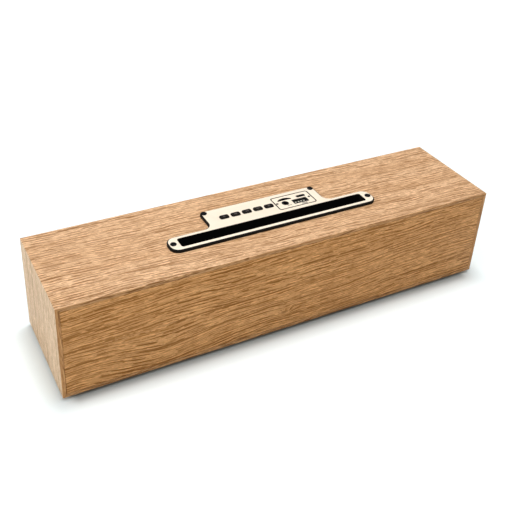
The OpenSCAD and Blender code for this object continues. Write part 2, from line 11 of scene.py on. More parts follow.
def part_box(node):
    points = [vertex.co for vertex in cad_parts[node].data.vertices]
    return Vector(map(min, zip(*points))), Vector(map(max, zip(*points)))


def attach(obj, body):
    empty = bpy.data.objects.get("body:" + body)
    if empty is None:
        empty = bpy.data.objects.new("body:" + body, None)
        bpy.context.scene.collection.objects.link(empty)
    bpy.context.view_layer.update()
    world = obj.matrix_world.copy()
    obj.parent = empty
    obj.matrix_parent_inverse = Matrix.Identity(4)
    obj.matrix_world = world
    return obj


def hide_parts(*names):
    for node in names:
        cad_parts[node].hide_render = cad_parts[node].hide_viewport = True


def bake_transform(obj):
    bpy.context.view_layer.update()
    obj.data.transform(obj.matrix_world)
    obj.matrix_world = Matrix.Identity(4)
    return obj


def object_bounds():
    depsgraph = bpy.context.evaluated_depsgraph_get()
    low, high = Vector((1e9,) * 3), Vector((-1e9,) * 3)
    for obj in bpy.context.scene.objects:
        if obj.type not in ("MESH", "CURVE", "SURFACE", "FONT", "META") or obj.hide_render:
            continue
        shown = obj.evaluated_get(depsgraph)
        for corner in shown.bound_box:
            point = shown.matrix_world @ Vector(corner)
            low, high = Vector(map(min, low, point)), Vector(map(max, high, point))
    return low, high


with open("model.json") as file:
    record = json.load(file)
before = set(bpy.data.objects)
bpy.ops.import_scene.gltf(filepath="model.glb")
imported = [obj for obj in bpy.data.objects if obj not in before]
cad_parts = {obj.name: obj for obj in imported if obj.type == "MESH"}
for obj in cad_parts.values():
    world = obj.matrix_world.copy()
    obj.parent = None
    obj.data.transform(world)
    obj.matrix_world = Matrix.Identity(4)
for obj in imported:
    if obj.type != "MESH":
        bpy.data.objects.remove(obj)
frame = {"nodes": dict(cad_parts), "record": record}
cad_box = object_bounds()
MM = 0.001
KEYS = ["mode", "previous", "play", "next", "power"]
SIDES = {"left": -1, "right": 1}


# ---------- camera ----------

VIEW_AZIMUTH = math.radians(151.261)
VIEW_ELEVATION = math.radians(30.288)
VIEW_ROLL = math.radians(2.776)
SENSOR = 36.0
LENS = 56.847
EYE = Vector((278.57, 461.31, 426.44)) * MM
SHIFT = (0.02758, -0.14734)


def set_camera():
    lens = bpy.data.cameras.new("camera")
    lens.sensor_width = SENSOR
    lens.lens = LENS
    lens.shift_x, lens.shift_y = SHIFT
    lens.clip_start, lens.clip_end = 0.01, 50
    camera = bpy.data.objects.new("camera", lens)
    bpy.context.scene.collection.objects.link(camera)
    flat = math.cos(VIEW_ELEVATION)
    back = Vector((math.sin(VIEW_AZIMUTH) * flat, -math.cos(VIEW_AZIMUTH) * flat, math.sin(VIEW_ELEVATION)))
    level = Vector((math.cos(VIEW_AZIMUTH), math.sin(VIEW_AZIMUTH), 0))
    upright = back.cross(level)
    right = level * math.cos(VIEW_ROLL) + upright * math.sin(VIEW_ROLL)
    up = upright * math.cos(VIEW_ROLL) - level * math.sin(VIEW_ROLL)
    turn = Matrix((right, up, back)).transposed()
    camera.matrix_world = Matrix.Translation(EYE) @ turn.to_4x4()
    bpy.context.scene.camera = camera


set_camera()


# ---------- wiring for materials and for geometry nodes ----------


class Wire:
    """A socket that takes part in Python sums."""

    def __init__(self, board, socket):
        self.board, self.socket = board, socket

    def maths(self, operation, *others):
        values = dict(enumerate((self, *others)))
        return self.board.node("ShaderNodeMath", {"operation": operation}, values)

    def __add__(self, other):
        return self.maths("ADD", other)

    __radd__ = __add__

    def __mul__(self, other):
        return self.maths("MULTIPLY", other)

    __rmul__ = __mul__

    def __sub__(self, other):
        return self.maths("SUBTRACT", other)

    def __rsub__(self, other):
        return self.board.node("ShaderNodeMath", {"operation": "SUBTRACT"}, {0: other, 1: self})

    def __truediv__(self, other):
        return self.maths("DIVIDE", other)

    def __neg__(self):
        return self * -1

    def fraction(self):
        return self.maths("FRACT")

    def bell(self):
        """1 at zero, falling smoothly to nothing on both sides."""
        return (-(self * self)).maths("EXPONENT")

    def rise(self, low, high):
        """A smooth step from 0 at low to 1 at high, or down again where high is the smaller."""
        values = {"Value": self, "From Min": low, "From Max": high, "To Min": 0.0, "To Max": 1.0}
        return self.board.node("ShaderNodeMapRange", {"interpolation_type": "SMOOTHSTEP"}, values)


class Board:
    """A node tree that is wired by calls."""

    def __init__(self, tree):
        self.tree = tree

    def node(self, kind, settings=None, values=None, out=0):
        made = self.tree.nodes.new(kind)
        for key, value in (settings or {}).items():
            setattr(made, key, value)
        for key, value in (values or {}).items():
            if isinstance(value, Wire):
                self.tree.links.new(value.socket, made.inputs[key])
            else:
                made.inputs[key].default_value = value
        return Wire(self, made.outputs[out]) if len(made.outputs) else None


class Finish(Board):
    """A material under construction."""

    def __init__(self, name):
        self.material = bpy.data.materials.new(name)
        self.material.use_nodes = True
        self.material.node_tree.nodes.clear()
        super().__init__(self.material.node_tree)
        where = self.node("ShaderNodeTexCoord", out="Object")
        scaled = self.node("ShaderNodeVectorMath", {"operation": "SCALE"}, {0: where, "Scale": 1 / MM})
        self.x, self.y, self.z = (
            self.node("ShaderNodeSeparateXYZ", values={0: scaled}, out=axis) for axis in range(3)
        )

    def noise(self, x, y, z, detail=2.0, rough=0.5, start=0.0):
        spot = self.node("ShaderNodeCombineXYZ", values={0: x + start, 1: y, 2: z})
        values = {"Vector": spot, "Scale": 1.0, "Detail": detail, "Roughness": rough}
        return self.node("ShaderNodeTexNoise", values=values)

    def cloud(self, size, detail=2.0, start=0.0):
        """Even noise whose lumps are about size mm."""
        return self.noise(self.x / size, self.y / size, self.z / size, detail, 0.5, start)

    def blend(self, share, first, second):
        tone = {0: share, 6: first, 7: second}
        return self.node("ShaderNodeMix", {"data_type": "RGBA"}, tone, out=2)

    def finish(self, colour, roughness, height=None, deep=0.02, **constants):
        values = {"Base Color": colour, "Roughness": roughness, **constants}
        if height is not None:
            bump = {"Height": height, "Strength": 1.0, "Distance": deep * MM}
            values["Normal"] = self.node("ShaderNodeBump", values=bump)
        shader = self.node("ShaderNodeBsdfPrincipled", values=values)
        self.node("ShaderNodeOutputMaterial", values={"Surface": shader})
        return self.material


def tone(red, green, blue):
    """An opaque colour."""
    return (red, green, blue, 1.0)


# ---------- finishes ----------

SHINE = "Specular IOR Level"
VENEER_SHINE = 0.16
RING_PITCH = 14.5
FINE_PITCH = 4.1


def veneer(name, along, across, depth, pale, warm, dark, start=0.0, bold_at=0.0, tilt=0.03, dip=None,
           knot=None, rim=None, force=1.0):
    """Open-pored wood veneer. along, across and depth give its own directions from x, y and z.

    start picks the piece of wood, bold_at is where a dark growth line lies, and tilt is its slope. dip
    bends the lines, knot is the spot of an eye, rim darkens the edge beside the back to the back panel's
    tone, partly as painted shade, and force is the contrast."""
    wood = Finish(name)
    here = (wood.x, wood.y, wood.z)
    u, v, w = along(*here), across(*here), depth(*here)

    def grain(length, width, detail=2.0, rough=0.5, seed=0.0, level=v):
        return wood.noise(u / length, level / width, w / width, detail, rough, start + seed)

    def darker(share, colour, other):
        return wood.blend(share, colour, tone(*(share_of * c for share_of, c in zip(other, dark))))

    drift = (grain(150, 75, 1.5) - 0.5) * 12 + (grain(44, 20, 1.5, seed=3) - 0.5) * 2.2
    height = v - tilt * u + drift
    if dip:
        middle_u, reach, fall, low, high = dip
        height = height + ((u - middle_u) / reach).bell() * (1 - v.rise(low, high)) * fall
    eye = None
    if knot:
        du, dv = (u - knot[0]) / 7, (v - knot[1]) / 3
        eye = (du * du + dv * dv).maths("SQRT")
        height = height + eye.bell() * 4
    ring = ((height - bold_at) / RING_PITCH + (grain(400, 16, 1, seed=9) - 0.5) * 0.5).fraction()
    ring_end = (1 - ring.rise(0.975, 1.0)) * grain(80, 20, 1, seed=21).rise(0.34, 0.56)
    bold = ring.rise(0.86, 0.975) * ring_end
    dense = ring.rise(0.45, 0.95) * ring_end
    fine = ((height + (grain(60, 3, 1, seed=5) - 0.5) * 3) / FINE_PITCH).fraction()
    fine = fine.rise(0.45, 0.93) * (1 - fine.rise(0.93, 1.0)) * grain(60, 11, 1, seed=31).rise(0.32, 0.66)
    sway = height + (grain(14, 12, 1, seed=37) - 0.5) * 1.1
    patch = grain(50, 12, 2, seed=39).rise(0.30, 0.66)

    def hatching(spacing, wander, reach, length, seed, thin, solid):
        """Thin lines along the grain, broken into dashes."""
        phase = sway / spacing + grain(*reach, 1, seed=seed) * wander
        line = (phase * math.tau).maths("COSINE").rise(thin, thin + 0.55)
        return line * grain(length, 2.2, 1, 0.5, seed + 1, sway).rise(0.51 - solid, 0.58 - solid)

    strokes = hatching(2.8, 1.9, (42, 11), 15.0, 41, 0.22, 0.045 + 0.08 * dense)
    short = hatching(1.8, 1.5, (22, 6.5), 5.0, 43, 0.15, 0.045 + 0.05 * dense)
    light = hatching(2.4, 1.5, (36, 10), 10.0, 71, 0.15, 0.04)
    pores = grain(3.0, 0.22, 1.0, 0.5, 47, sway).rise(0.56, 0.68)
    fibre = grain(24, 0.4, 2, 0.7, seed=53, level=height)
    mottle = grain(15, 3.2, 3, 0.6, seed=59)
    cloudy = grain(170, 15, 2, seed=61)
    colour = wood.blend(cloudy.rise(0.30, 0.70), pale, warm)
    colour = darker(mottle.rise(0.35, 0.75) * 0.20, colour, (1, 1, 1))
    colour = darker(fine * (0.50 * force), colour, (1.0, 0.98, 0.95))
    colour = darker(bold * (0.88 * force), colour, (0.70, 0.66, 0.60))
    colour = darker(fibre.rise(0.50, 0.75) * 0.18, colour, (1, 1, 1))
    lift = tone(*(min(1.0, 1.34 * c) for c in pale[:3]))
    colour = wood.blend(light * 0.60, colour, lift)
    colour = darker(strokes * (0.54 + 0.46 * patch) * force, colour, (0.72, 0.70, 0.68))
    colour = darker(short * (0.62 * force), colour, (0.84, 0.80, 0.74))
    colour = darker(pores * (0.45 * force), colour, (0.50, 0.48, 0.46))
    if eye is not None:
        colour = darker(eye.rise(0.60, 0.20) * 0.55, colour, (0.45, 0.42, 0.40))
    if rim is not None:
        shade, first, last = rim
        edge = wood.y.rise(first, last)
        colour = wood.node("ShaderNodeMix", {"data_type": "RGBA", "blend_type": "MULTIPLY"},
                           {0: edge, 6: colour, 7: shade}, out=2)
    rough = 0.46 + 0.10 * mottle + 0.14 * pores
    ridges = 0.5 * fibre - 0.6 * pores - 0.9 * strokes - 0.5 * short - 0.4 * bold + 0.3 * light
    return wood.finish(colour, rough, ridges, 0.08, **{SHINE: VENEER_SHINE})


CORNER = 0.4
RIM = 0.3
EDGE_SLANT = 0.9
HALF_W = cad_box[1].x / MM
FRONT_Y, BACK_Y = cad_box[0].y / MM, cad_box[1].y / MM
TOP_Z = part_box("top_board")[1].z / MM
LOW_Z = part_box("bottom_board")[0].z / MM
PALE = tone(0.710, 0.456, 0.270)
WARM = tone(0.638, 0.390, 0.217)
DARK = tone(0.350, 0.170, 0.058)
# The end boards are the same wood as the top; their paler tones partly stand in for the stronger light on the
# ends, as painted light.
END_PALE = tone(0.800, 0.578, 0.384)
END_WARM = tone(0.745, 0.512, 0.328)
END_DARK = tone(0.440, 0.250, 0.105)
# Painted shade, in part: the rims give the walls' edges on the back face the back panel's darker tone.
RIM_AT = (BACK_Y - RIM, BACK_Y - RIM / 3)
LONG_RIM = (tone(0.80, 0.68, 0.50), *RIM_AT)
END_RIM = (tone(0.70, 0.50, 0.30), *RIM_AT)

top_wood = veneer(
    "top_veneer",
    lambda x, y, z: -x,
    lambda x, y, z: y + EDGE_SLANT * (z - TOP_Z),
    lambda x, y, z: z - TOP_Z,
    PALE, WARM, DARK, bold_at=6.0, tilt=0.035, rim=LONG_RIM,
)
end_wood = {}
for side_name, side in SIDES.items():
    end_wood[side_name] = veneer(
        f"{side_name}_end_veneer",
        lambda x, y, z, side=side: -side * (HALF_W + TOP_Z - z),
        lambda x, y, z, side=side: y + EDGE_SLANT * (side * x - HALF_W),
        lambda x, y, z, side=side: side * x - HALF_W,
        END_PALE, END_WARM, END_DARK, bold_at=6.0, tilt=0.035, rim=END_RIM, force=0.75,
    )
bottom_wood = veneer(
    "bottom_veneer",
    lambda x, y, z: x,
    lambda x, y, z: y + EDGE_SLANT * (LOW_Z - z),
    lambda x, y, z: LOW_Z - z,
    PALE, WARM, DARK, start=120.0, rim=LONG_RIM,
)
back_wood = veneer(
    "back_veneer",
    lambda x, y, z: -x,
    lambda x, y, z: z - LOW_Z,
    lambda x, y, z: y,
    # The back's darker, more saturated tones partly stand in for the shade on the back face, as painted shade
    # on the same wood.
    tone(0.675, 0.348, 0.133), tone(0.600, 0.292, 0.102), tone(0.310, 0.114, 0.010),
    start=300.0, bold_at=29.5, tilt=0.022, dip=(-107, 45, 7.4, 25, 48), knot=(-7, 17),
)


def moulded(name, base, other, roughness, grain, deep, **constants):
    """One colour of plastic, rubber, paint or metal, with fine grain, faint clouds and uneven gloss."""
    made = Finish(name)
    broad = made.cloud(18, 3)
    tight = made.cloud(grain, 2, 7.0)
    colour = made.blend(broad.rise(0.3, 0.7) * 0.6 + tight * 0.3, tone(*base), tone(*other))
    return made.finish(colour, roughness + 0.12 * (broad - 0.5) + 0.06 * tight, tight, deep, **constants)


def brushed(name, base, other, roughness, along, **constants):
    """Metal with drawn lines along one direction."""
    made = Finish(name)
    length, width = 40, 0.16
    spots = {"x": (length, width, width), "y": (width, length, width), "z": (width, width, length)}[along]
    lines = made.noise(made.x / spots[0], made.y / spots[1], made.z / spots[2], 2, 0.6)
    broad = made.cloud(25, 2)
    colour = made.blend(lines * 0.7 + broad * 0.3, tone(*base), tone(*other))
    return made.finish(colour, roughness + 0.10 * (lines - 0.5) + 0.05 * broad, lines, 0.004, **constants)


def board_green(name):
    """Solder mask with copper tracks showing under it."""
    made = Finish(name)
    tracks = (made.x / 1.9 + made.cloud(6, 1) * 2).fraction().rise(0.72, 0.78)
    rows = (made.z / 2.7 + made.y / 2.7 + made.cloud(5, 1, 3.0) * 2).fraction().rise(0.74, 0.80)
    speck = made.cloud(1.2, 2, 11.0)
    colour = made.blend(tracks * 0.7, tone(0.012, 0.11, 0.045), tone(0.03, 0.22, 0.09))
    colour = made.blend(rows * 0.6, colour, tone(0.035, 0.25, 0.10))
    return made.finish(colour, 0.30 + 0.1 * speck, tracks + rows, 0.02)


def woven(name, base, other, pitch):
    """Stiffened cloth with a plain weave."""
    made = Finish(name)
    warp = (made.x * (math.tau / pitch)).maths("SINE")
    weft = (made.z * (math.tau / pitch)).maths("SINE")
    threads = (warp * weft).rise(-1, 1)
    colour = made.blend(threads * 0.7 + made.cloud(4, 2) * 0.3, tone(*base), tone(*other))
    return made.finish(colour, 0.8 - 0.1 * threads, threads, 0.08)


def sawn_board(name):
    """Bare softwood for the hidden battens."""
    made = Finish(name)
    rings = ((made.y + made.cloud(30, 2) * 8) / 2.6).fraction().rise(0.4, 0.9)
    fibre = made.noise(made.x / 0.5, made.y / 0.5, made.z / 12, 2)
    colour = made.blend(rings * 0.6, tone(0.66, 0.50, 0.31), tone(0.50, 0.33, 0.17))
    colour = made.blend(fibre * 0.4, colour, tone(0.42, 0.28, 0.15))
    return made.finish(colour, 0.72 + 0.1 * fibre, fibre, 0.06)


def wound(name):
    """Copper wire laid turn by turn round the driver's axis."""
    made = Finish(name)
    turns = (made.y / 0.24).fraction().rise(0.0, 0.5)
    haze = made.cloud(3, 2)
    colour = made.blend(turns * 0.7 + haze * 0.3, tone(0.34, 0.11, 0.04), tone(0.80, 0.36, 0.16))
    return made.finish(colour, 0.28 + 0.1 * haze, turns, 0.05, Metallic=0.9)


# Two colours, the roughness, the size and depth of the grain in mm, then the other inputs.
MOULDED = {
    "painted_board": ((0.018, 0.018, 0.018), (0.028, 0.027, 0.026), 0.7, 0.9, 0.03, {}),
    "black_steel": ((0.004, 0.004, 0.005), (0.008, 0.008, 0.009), 0.42, 0.3, 0.004, {SHINE: 0.10}),
    "black_rubber": ((0.010, 0.010, 0.010), (0.018, 0.018, 0.018), 0.78, 0.4, 0.02, {}),
    "black_plastic": ((0.004, 0.004, 0.004), (0.007, 0.007, 0.007), 0.5, 0.45, 0.012, {SHINE: 0.12}),
    "grille_steel": ((0.014, 0.014, 0.015), (0.026, 0.026, 0.028), 0.45, 0.35, 0.008, {"Metallic": 0.2}),
    "key_plastic": ((0.005, 0.004, 0.003), (0.010, 0.007, 0.006), 0.42, 0.3, 0.006, {SHINE: 0.10}),
    "chip_black": ((0.016, 0.016, 0.017), (0.03, 0.03, 0.032), 0.55, 0.5, 0.015, {}),
    "cell_wrap": ((0.03, 0.10, 0.40), (0.05, 0.14, 0.48), 0.30, 2.5, 0.02, {}),
    "lead_cover": ((0.42, 0.012, 0.012), (0.52, 0.03, 0.02), 0.38, 0.6, 0.01, {}),
    "basket_steel": ((0.06, 0.06, 0.065), (0.10, 0.10, 0.11), 0.42, 0.5, 0.02, {"Metallic": 0.4}),
    "ferrite": ((0.045, 0.045, 0.047), (0.085, 0.082, 0.08), 0.62, 0.4, 0.03, {}),
    "cone_paper": ((0.018, 0.018, 0.019), (0.035, 0.034, 0.033), 0.82, 0.8, 0.06, {}),
    # The next row is painted shade: a near-black finish for the walls of the plates' openings and seams.
    "cut_edge": ((0.010, 0.009, 0.008), (0.020, 0.018, 0.016), 0.6, 0.3, 0.004, {}),
    "socket_plastic": ((0.012, 0.012, 0.012), (0.02, 0.02, 0.02), 0.5, 0.4, 0.006, {SHINE: 0.15}),
    "key_print": ((0.10, 0.08, 0.072), (0.14, 0.115, 0.105), 0.5, 0.3, 0.003, {}),
    "plate_print": ((0.06, 0.055, 0.05), (0.09, 0.085, 0.075), 0.5, 0.3, 0.003, {}),
}
# Two colours, the roughness, the direction of the lines, and how much of a metal it is.
BRUSHED = {
    "champagne_metal": ((0.83, 0.72, 0.57), (0.89, 0.775, 0.635), 0.42, "x", 0.1),
    "plated_steel": ((0.62, 0.61, 0.58), (0.78, 0.77, 0.74), 0.25, "z", 1.0),
    # The next row is nickel darkened as painted shade for the inside of the socket mouths.
    "dark_nickel": ((0.05, 0.05, 0.05), (0.09, 0.09, 0.085), 0.4, "z", 0.8),
    "contact_metal": ((0.85, 0.78, 0.64), (0.95, 0.90, 0.78), 0.35, "z", 0.3),
}
FINISHES = {
    "top_veneer": top_wood,
    "end_veneer": end_wood["left"],
    "back_veneer": back_wood,
    "bare_wood": sawn_board("bare_wood"),
    "circuit_board": board_green("circuit_board"),
    "copper_coil": wound("copper_coil"),
    "spider_cloth": woven("spider_cloth", (0.50, 0.32, 0.09), (0.72, 0.52, 0.22), 0.9),
}
for finish, (*recipe, constants) in MOULDED.items():
    FINISHES[finish] = moulded(finish, *recipe, **constants)
for finish, (*recipe, metallic) in BRUSHED.items():
    FINISHES[finish] = brushed(finish, *recipe, Metallic=metallic)
# The socket shells are nickel, darkened as painted shade for the inside of their mouths.
DARK_PARTS = {
    "usb_tongue": FINISHES["socket_plastic"],
    "usb_shell": FINISHES["dark_nickel"],
    "charge_socket": FINISHES["dark_nickel"],
}


# ---------- ways of making a piece ----------


CREASE = 35.0
SOFT_CREASE = 50.0
FLAT_FACE = 0.8


def linked(name, data):
    """A new object in the scene."""
    made = bpy.data.objects.new(name, data)
    bpy.context.scene.collection.objects.link(made)
    return made


def placed(name, mesh, material, crease=CREASE):
    """A mesh in the scene with its material and its smooth faces."""
    mesh.name = name
    mesh.materials.clear()
    mesh.materials.append(material)
    mesh.shade_smooth()
    mesh.set_sharp_from_angle(angle=math.radians(crease))
    return linked(name, mesh)


def add(name, mesh, material, body, stands_for=(), painted_shade_walls=False):
    """Puts a finished mesh in the scene as a piece that rides on a body."""
    made = placed(name, mesh, material)
    # Painted shade: the steep walls of the mesh, round its openings and its outline, get the near-black
    # finish.
    if painted_shade_walls:
        mesh.materials.append(FINISHES["cut_edge"])
        for face in mesh.polygons:
            face.material_index = int(abs(face.normal.z) < FLAT_FACE)
    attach(made, body)
    if stands_for:
        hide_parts(*stands_for)
    return made


def mesh_from(bm):
    """A mesh with its faces turned outwards. The bmesh is used up."""
    bmesh.ops.recalc_face_normals(bm, faces=bm.faces)
    mesh = bpy.data.meshes.new("shape")
    bm.to_mesh(mesh)
    bm.free()
    return mesh


def shaped(mesh, modifiers):
    """A mesh after some modifiers, each given as its type and its settings."""
    holder = linked("holder", mesh)
    for kind, settings in modifiers:
        modifier = holder.modifiers.new(kind.lower(), kind)
        for key, value in settings.items():
            setattr(modifier, key, value)
    ready = holder.evaluated_get(bpy.context.evaluated_depsgraph_get())
    result = bpy.data.meshes.new_from_object(ready)
    bpy.data.objects.remove(holder)
    return result


def cut(mesh, *cutters):
    """A mesh with other closed meshes taken out of it."""
    tools = [linked("tool", cutter) for cutter in cutters]
    how = {"operation": "DIFFERENCE", "solver": "EXACT"}
    result = shaped(mesh, [("BOOLEAN", {**how, "object": tool}) for tool in tools])
    for tool in tools:
        bpy.data.objects.remove(tool)
    return result


def joined(*meshes):
    """Several closed meshes as one mesh."""
    bm = bmesh.new()
    for mesh in meshes:
        bm.from_mesh(mesh)
    result = bpy.data.meshes.new("shape")
    bm.to_mesh(result)
    bm.free()
    return result


def moved(mesh, turn=None, to=(0, 0, 0)):
    """A mesh turned about the origin, then moved, in metres."""
    if turn is not None:
        mesh.transform(turn)
    mesh.transform(Matrix.Translation(Vector(to)))
    return mesh


def slab(low, high, edge=0.0, steps=2):
    """A box with rounded edges. Corners in metres, edge in mm."""
    bm = bmesh.new()
    bmesh.ops.create_cube(bm, size=1.0)
    size, centre = high - low, (high + low) / 2
    for vert in bm.verts:
        vert.co = Vector(a * b for a, b in zip(vert.co, size)) + centre
    if edge:
        bmesh.ops.bevel(bm, geom=bm.edges[:], offset=edge * MM, segments=steps, profile=0.5, affect="EDGES")
    return mesh_from(bm)


def loft(rings):
    """A closed skin through rings of points in mm, all with the same count."""
    bm = bmesh.new()
    rows = [[bm.verts.new(Vector(point) * MM) for point in ring] for ring in rings]
    count = len(rings[0])
    for near, far in zip(rows, rows[1:]):
        for k in range(count):
            j = (k + 1) % count
            bm.faces.new((near[k], near[j], far[j], far[k]))
    bm.faces.new(rows[0][::-1])
    bm.faces.new(rows[-1])
    bmesh.ops.remove_doubles(bm, verts=bm.verts, dist=1e-7)
    return mesh_from(bm)


def turned(profile, steps=32):
    """A closed solid turned about Z from (radius, height). The profile starts and ends on the axis."""
    bm = bmesh.new()
    rows = []
    for radius, height in profile:
        if radius == 0:
            rows.append([bm.verts.new((0, 0, height * MM))])
            continue
        spots = [math.tau * k / steps for k in range(steps)]
        ring = [Vector((radius * math.cos(a), radius * math.sin(a), height)) for a in spots]
        rows.append([bm.verts.new(point * MM) for point in ring])
    for near, far in zip(rows, rows[1:]):
        for k in range(steps):
            j = (k + 1) % steps
            corners = [near[k % len(near)], near[j % len(near)], far[j % len(far)], far[k % len(far)]]
            bm.faces.new(list(dict.fromkeys(corners)))
    return mesh_from(bm)


def arc(centre, radius, start, end, steps=8):
    """Points in mm along an arc, by its angles in degrees."""
    spots = [math.radians(start + (end - start) * k / steps) for k in range(steps + 1)]
    return [(centre[0] + radius * math.cos(a), centre[1] + radius * math.sin(a)) for a in spots]


def round_hole(centre, radius, steps=32):
    """A closed loop round a centre."""
    return arc(centre, radius, 0, 360, steps)[:-1]


def round_box(centre, size, radius, steps=6):
    """A closed loop round a box with round corners."""
    x, y = size[0] / 2 - radius, size[1] / 2 - radius
    corners = [((x, y), 0), ((-x, y), 90), ((-x, -y), 180), ((x, -y), 270)]
    loop = []
    for (dx, dy), start in corners:
        loop += arc((centre[0] + dx, centre[1] + dy), radius, start, start + 90, steps)
    return loop


def plate(loops, low, high, edge=0.0, steps=2):
    """A flat solid between two heights in mm. Loops inside loops are holes, and edge rounds every rim."""
    outline = bpy.data.curves.new("outline", "CURVE")
    outline.dimensions = "2D"
    outline.fill_mode = "BOTH"
    outline.extrude = ((high - low) / 2 - edge) * MM
    outline.bevel_depth = edge * MM
    outline.bevel_resolution = steps
    outline.offset = -edge * MM
    for loop in loops:
        spline = outline.splines.new("POLY")
        spline.points.add(len(loop) - 1)
        for point, (x, y) in zip(spline.points, loop):
            point.co = (x * MM, y * MM, 0, 1)
        spline.use_cyclic_u = True
    holder = linked("holder", outline)
    ready = holder.evaluated_get(bpy.context.evaluated_depsgraph_get())
    bm = bmesh.new()
    bm.from_mesh(bpy.data.meshes.new_from_object(ready))
    bpy.data.objects.remove(holder)
    bmesh.ops.remove_doubles(bm, verts=bm.verts, dist=2e-6)
    bmesh.ops.dissolve_degenerate(bm, edges=bm.edges[:], dist=1e-7)
    return moved(mesh_from(bm), to=(0, 0, (low + high) / 2 * MM))


def solids(node):
    """The (lowest, highest) corners of each separate solid of a CAD node, left to right."""
    bm = bmesh.new()
    bm.from_mesh(frame["nodes"][node].data)
    bmesh.ops.remove_doubles(bm, verts=bm.verts, dist=1e-6)
    seen, boxes = set(), []
    for first in bm.verts:
        if first in seen:
            continue
        seen.add(first)
        todo, points = [first], []
        while todo:
            vert = todo.pop()
            points.append(vert.co)
            for edge in vert.link_edges:
                other = edge.other_vert(vert)
                if other not in seen:
                    seen.add(other)
                    todo.append(other)
        low = Vector(min(p[k] for p in points) for k in range(3))
        high = Vector(max(p[k] for p in points) for k in range(3))
        boxes.append((low, high))
    bm.free()
    return sorted(boxes, key=lambda pair: tuple(pair[0]))


# ---------- geometry node trees ----------


class Works(Board):
    """A geometry node tree with named inputs."""

    def __init__(self, name, inputs):
        tree = bpy.data.node_groups.new(name, "GeometryNodeTree")
        tree.interface.new_socket("Geometry", in_out="OUTPUT", socket_type="NodeSocketGeometry")
        self.names = {}
        for label, kind in inputs.items():
            made = tree.interface.new_socket(label, in_out="INPUT", socket_type=f"NodeSocket{kind}")
            self.names[label] = made.identifier
        super().__init__(tree)
        group = tree.nodes.new("NodeGroupInput")
        self.inputs = {label: Wire(self, group.outputs[label]) for label in inputs}

    def close(self, geometry, material):
        """Ends the tree in real geometry with its material."""
        real = self.node("GeometryNodeRealizeInstances", values={"Geometry": geometry})
        painted = self.node("GeometryNodeSetMaterial", values={"Geometry": real, "Material": material})
        self.node("NodeGroupOutput", values={"Geometry": painted})

    def join(self, *parts):
        """Several geometries as one."""
        made = self.tree.nodes.new("GeometryNodeJoinGeometry")
        for part in parts:
            self.tree.links.new(part.socket, made.inputs[0])
        return Wire(self, made.outputs[0])

    def grow(self, carrier, values):
        """The plain mesh that the tree makes on a carrier mesh with these input values."""
        holder = linked("holder", carrier)
        modifier = holder.modifiers.new("works", "NODES")
        modifier.node_group = self.tree
        for label, value in values.items():
            modifier[self.names[label]] = value
        ready = holder.evaluated_get(bpy.context.evaluated_depsgraph_get())
        mesh = bpy.data.meshes.new_from_object(ready)
        bpy.data.objects.remove(holder)
        return mesh


def copies_tree():
    """One master shape on every point of the carrier."""
    named = {"Points": "Geometry", "Master": "Object", "Turn": "Vector", "Finish": "Material"}
    works = Works("copies", named)
    get = works.inputs
    master = works.node("GeometryNodeObjectInfo", {"transform_space": "ORIGINAL"},
                        {"Object": get["Master"]}, out="Geometry")
    values = {"Points": get["Points"], "Instance": master, "Rotation": get["Turn"]}
    works.close(works.node("GeometryNodeInstanceOnPoints", values=values), get["Finish"])
    return works


def perforated_tree():
    """A flat sheet in X and Y with round holes in staggered rows, inside a plain margin."""
    named = {
        "Width": "Float", "Height": "Float", "Corner": "Float", "Thickness": "Float",
        "Hole radius": "Float", "Columns": "Int", "Rows": "Int", "Pitch": "Float", "Row pitch": "Float",
        "Finish": "Material",
    }
    works = Works("perforated_sheet", named)
    get = works.inputs
    circle = {"Resolution": 12, "Radius": get["Hole radius"]}
    hole = works.node("GeometryNodeCurvePrimitiveCircle", values=circle, out="Curve")

    def rows(columns, count):
        """Every second row of holes."""
        size = {
            "Size X": (columns - 1) * get["Pitch"], "Size Y": (count - 1) * (2 * get["Row pitch"]),
            "Vertices X": columns, "Vertices Y": count,
        }
        grid = works.node("GeometryNodeMeshGrid", values=size, out="Mesh")
        return works.node("GeometryNodeInstanceOnPoints", values={"Points": grid, "Instance": hole})

    wide = rows(get["Columns"], get["Rows"])
    narrow = rows(get["Columns"] - 1, get["Rows"] - 1)
    border = works.node(
        "GeometryNodeCurvePrimitiveQuadrilateral", values={"Width": get["Width"], "Height": get["Height"]}
    )
    border = works.node(
        "GeometryNodeFilletCurve", {"mode": "POLY"}, {"Curve": border, "Radius": get["Corner"], "Count": 4}
    )
    lines = works.node(
        "GeometryNodeRealizeInstances", values={"Geometry": works.join(border, wide, narrow)}
    )
    face = works.node("GeometryNodeFillCurve", values={"Curve": lines})
    raised = works.node(
        "GeometryNodeExtrudeMesh", {"mode": "FACES"},
        {"Mesh": face, "Offset Scale": get["Thickness"], "Individual": False},
    )
    under = works.node("GeometryNodeFlipFaces", values={"Mesh": face})
    whole = works.node(
        "GeometryNodeMergeByDistance", values={"Geometry": works.join(raised, under), "Distance": 1e-6}
    )
    works.close(whole, get["Finish"])
    return works


COPIES = copies_tree()


def spread(master, spots, material, turn=(0, 0, 0)):
    """Copies of a master mesh at spots, in metres, as one mesh."""
    carrier = bpy.data.meshes.new("spots")
    carrier.from_pydata([tuple(spot) for spot in spots], [], [])
    shape = linked("master", master)
    mesh = COPIES.grow(carrier, {"Master": shape, "Turn": turn, "Finish": material})
    bpy.data.objects.remove(shape)
    return mesh


# ---------- case ----------

WALL = (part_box("top_board")[1].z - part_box("top_board")[0].z) / MM
EDGE_W = 3.0
BACK_T = (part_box("back_board")[1].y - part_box("back_board")[0].y) / MM
GRILLE_DEPTH = 7.0
MID_Z = (TOP_Z + LOW_Z) / 2


